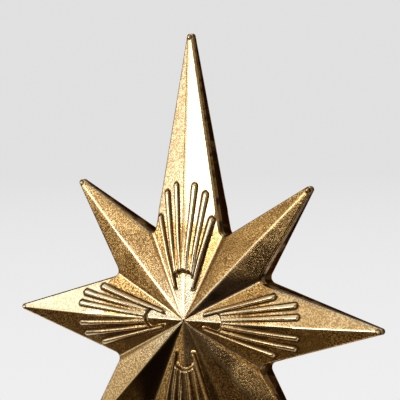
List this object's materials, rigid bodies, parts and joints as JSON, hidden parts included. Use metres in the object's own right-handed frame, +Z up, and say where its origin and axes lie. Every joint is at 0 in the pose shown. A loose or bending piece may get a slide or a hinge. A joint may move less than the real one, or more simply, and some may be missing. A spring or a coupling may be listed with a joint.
{
  "type": "star tree topper",
  "caption": "Eight-pointed hollow metal star with faceted arms, pressed rib fans and a conical wire coil that grips the top of a tree.",
  "frame": {"origin": "middle of the coil's lower mouth, where the tree's leader goes in", "axes": "+Z up along the star's long arm, -Y towards the front, +X to the right seen from the front"},
  "size_m": [0.204, 0.0385, 0.3466],
  "materials": {
    "gold_sheet": "satin antique gold with a fine sandblasted grain on the facets, smoother on the ribs and the side wall",
    "coil_wire": "smooth drawn wire in antique gold",
    "collar_metal": "smooth turned brass",
    "strap_metal": "plain sheet, inside the star",
    "rivet_metal": "smooth domed heads"
  },
  "bodies": {
    "root": {"front_shell": "gold_sheet", "back_shell": "gold_sheet", "tree_coil": "coil_wire", "stem_collar": "collar_metal", "upper_stem_strap": "strap_metal", "lower_stem_strap": "strap_metal", "strap_rivet_1": "rivet_metal", "strap_rivet_2": "rivet_metal", "strap_rivet_3": "rivet_metal", "strap_rivet_4": "rivet_metal"}
  },
  "joints": []
}
